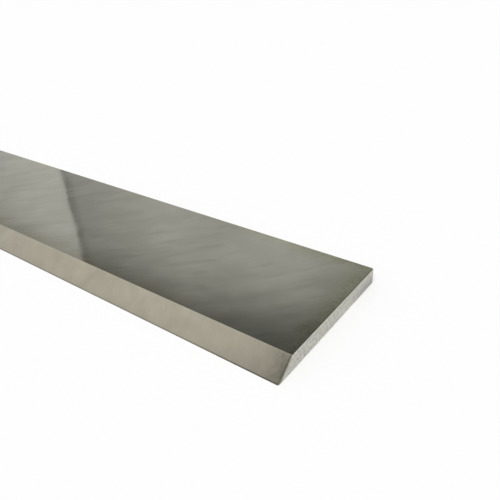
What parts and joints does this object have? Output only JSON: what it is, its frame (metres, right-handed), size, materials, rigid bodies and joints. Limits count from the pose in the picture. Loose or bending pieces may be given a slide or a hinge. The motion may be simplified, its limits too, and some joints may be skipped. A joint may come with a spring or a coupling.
{
  "type": "planer knife",
  "caption": "Straight planer knife: a flat ground steel bar with one long bevel and a narrow honed land along its cutting edge.",
  "frame": {"origin": "on the flat back face that the knife lies on, halfway along its length and halfway between its cutting edge and its rear edge", "axes": "+X along the knife, +Y from the cutting edge to the rear edge, +Z from the back face to the top face, which the bevel meets"},
  "size_m": [0.31, 0.03, 0.003],
  "materials": {
    "knife_steel": "surface ground high-speed steel, semi-mirror"
  },
  "bodies": {
    "root": {"planer_knife": "knife_steel"}
  },
  "joints": []
}
